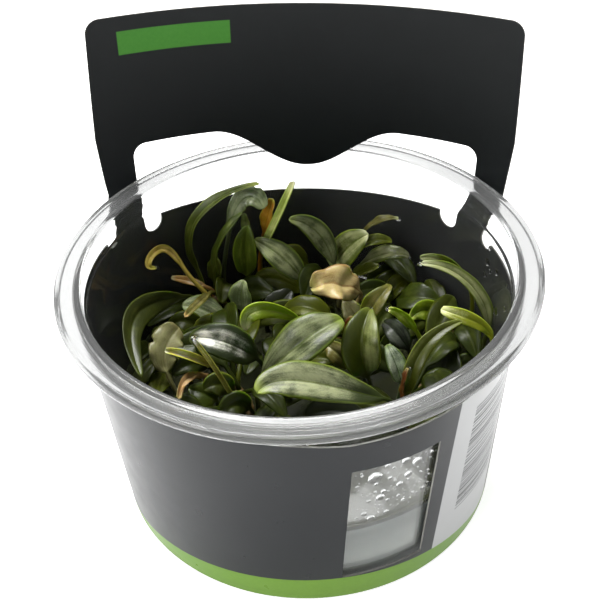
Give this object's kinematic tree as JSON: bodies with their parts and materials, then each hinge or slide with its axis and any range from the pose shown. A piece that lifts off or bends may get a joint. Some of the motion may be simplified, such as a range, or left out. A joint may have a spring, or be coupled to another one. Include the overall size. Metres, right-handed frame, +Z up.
{
  "type": "potted aquarium plant",
  "caption": "Small clump of bucephalandra growing on clear gel in an open see-through tub, with a dark card sleeve that rises behind it into a wide header.",
  "frame": {"origin": "middle of the ring that the tub stands on, at the level of the surface under it", "axes": "+Z up along the tub's axis, +Y towards the card's tall header, -Y towards the side seen in the picture, +X to the right as seen there"},
  "size_m": [0.1016, 0.1016, 0.0957],
  "materials": {
    "clear_plastic": "gloss, see-through",
    "gel": "wet, cloudy",
    "card": "coated print, satin",
    "stem": "matt",
    "olive": "satin leaf",
    "dark": "satin leaf",
    "bluish": "satin leaf",
    "grey_green": "satin leaf",
    "bright": "satin leaf",
    "lime": "satin leaf",
    "khaki": "satin leaf",
    "brown": "satin leaf",
    "tan": "dry, matt",
    "pale": "satin leaf"
  },
  "bodies": {
    "root": {"cup": "clear_plastic", "gel": "gel", "card_sleeve": "card", "leaf_01": "grey_green", "leaf_02": "grey_green", "leaf_03": "olive", "leaf_04": "dark", "leaf_05": "olive", "leaf_06": "lime", "leaf_07": "lime", "leaf_08": "tan", "leaf_09": "bluish", "leaf_10": "khaki", "leaf_11": "dark", "leaf_12": "olive", "leaf_13": "brown", "leaf_14": "grey_green", "leaf_15": "pale", "leaf_16": "dark", "leaf_17": "grey_green", "leaf_18": "grey_green", "leaf_19": "dark", "leaf_20": "khaki", "leaf_21": "khaki", "leaf_22": "olive", "leaf_23": "lime", "leaf_24": "brown", "leaf_25": "grey_green", "leaf_26": "khaki", "leaf_27": "grey_green", "leaf_28": "olive", "leaf_29": "pale", "leaf_30": "lime", "leaf_31": "olive", "leaf_32": "olive", "leaf_33": "lime", "leaf_34": "brown", "leaf_35": "bright", "leaf_36": "bluish", "leaf_37": "dark", "leaf_38": "pale", "leaf_39": "pale", "leaf_40": "brown", "leaf_41": "khaki", "leaf_42": "pale", "leaf_43": "khaki", "leaf_44": "tan", "leaf_45": "bluish", "leaf_46": "dark", "leaf_47": "bluish", "leaf_48": "dark", "leaf_49": "dark", "leaf_50": "dark", "leaf_51": "dark", "stem_01": "stem", "stem_02": "stem", "stem_03": "stem", "stem_04": "stem", "stem_05": "stem", "stem_06": "stem"}
  },
  "joints": []
}
